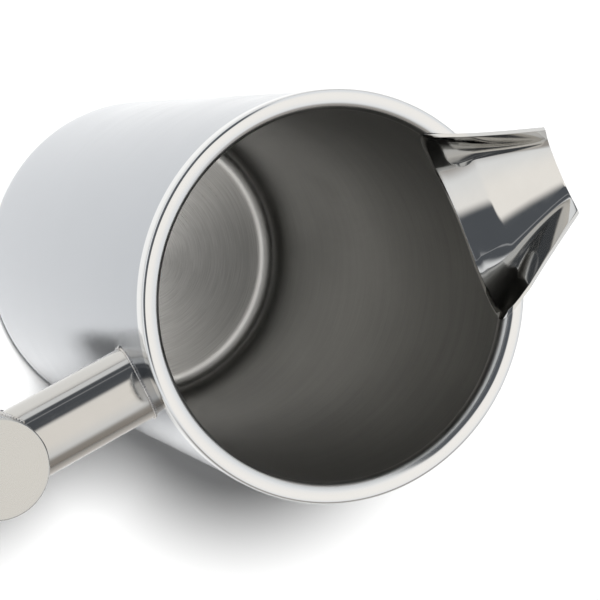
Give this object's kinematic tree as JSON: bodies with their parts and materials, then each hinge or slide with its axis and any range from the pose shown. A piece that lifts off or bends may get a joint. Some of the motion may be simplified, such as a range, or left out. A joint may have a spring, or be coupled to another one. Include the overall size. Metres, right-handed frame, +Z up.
{
  "type": "candle melting pot",
  "caption": "Tall straight-sided double-walled stainless steel melting pot with a thick rounded rim, a welded tapered pouring spout and a tube handle with an upright grip.",
  "frame": {"origin": "middle of the flat base, on the surface that the pot stands on", "axes": "+Z up along the pot's axis, +X towards the spout, -X towards the handle, the XZ plane is the plane of symmetry"},
  "size_m": [0.192, 0.1108, 0.1823],
  "materials": {
    "shell_steel": "bright satin polish",
    "cup_steel": "brushed round and round",
    "polished_steel": "mirror polished",
    "weld_steel": "ground and polished weld",
    "grip_steel": "polished",
    "cap_steel": "fine satin"
  },
  "bodies": {
    "root": {"outer_shell": "shell_steel", "inner_cup": "cup_steel", "rim_ring": "polished_steel", "spout": "polished_steel", "spout_weld": "weld_steel", "handle_arm": "polished_steel", "arm_weld": "weld_steel", "grip_tube": "grip_steel", "grip_weld": "weld_steel", "grip_top_cap": "cap_steel", "grip_bottom_cap": "cap_steel"}
  },
  "joints": []
}
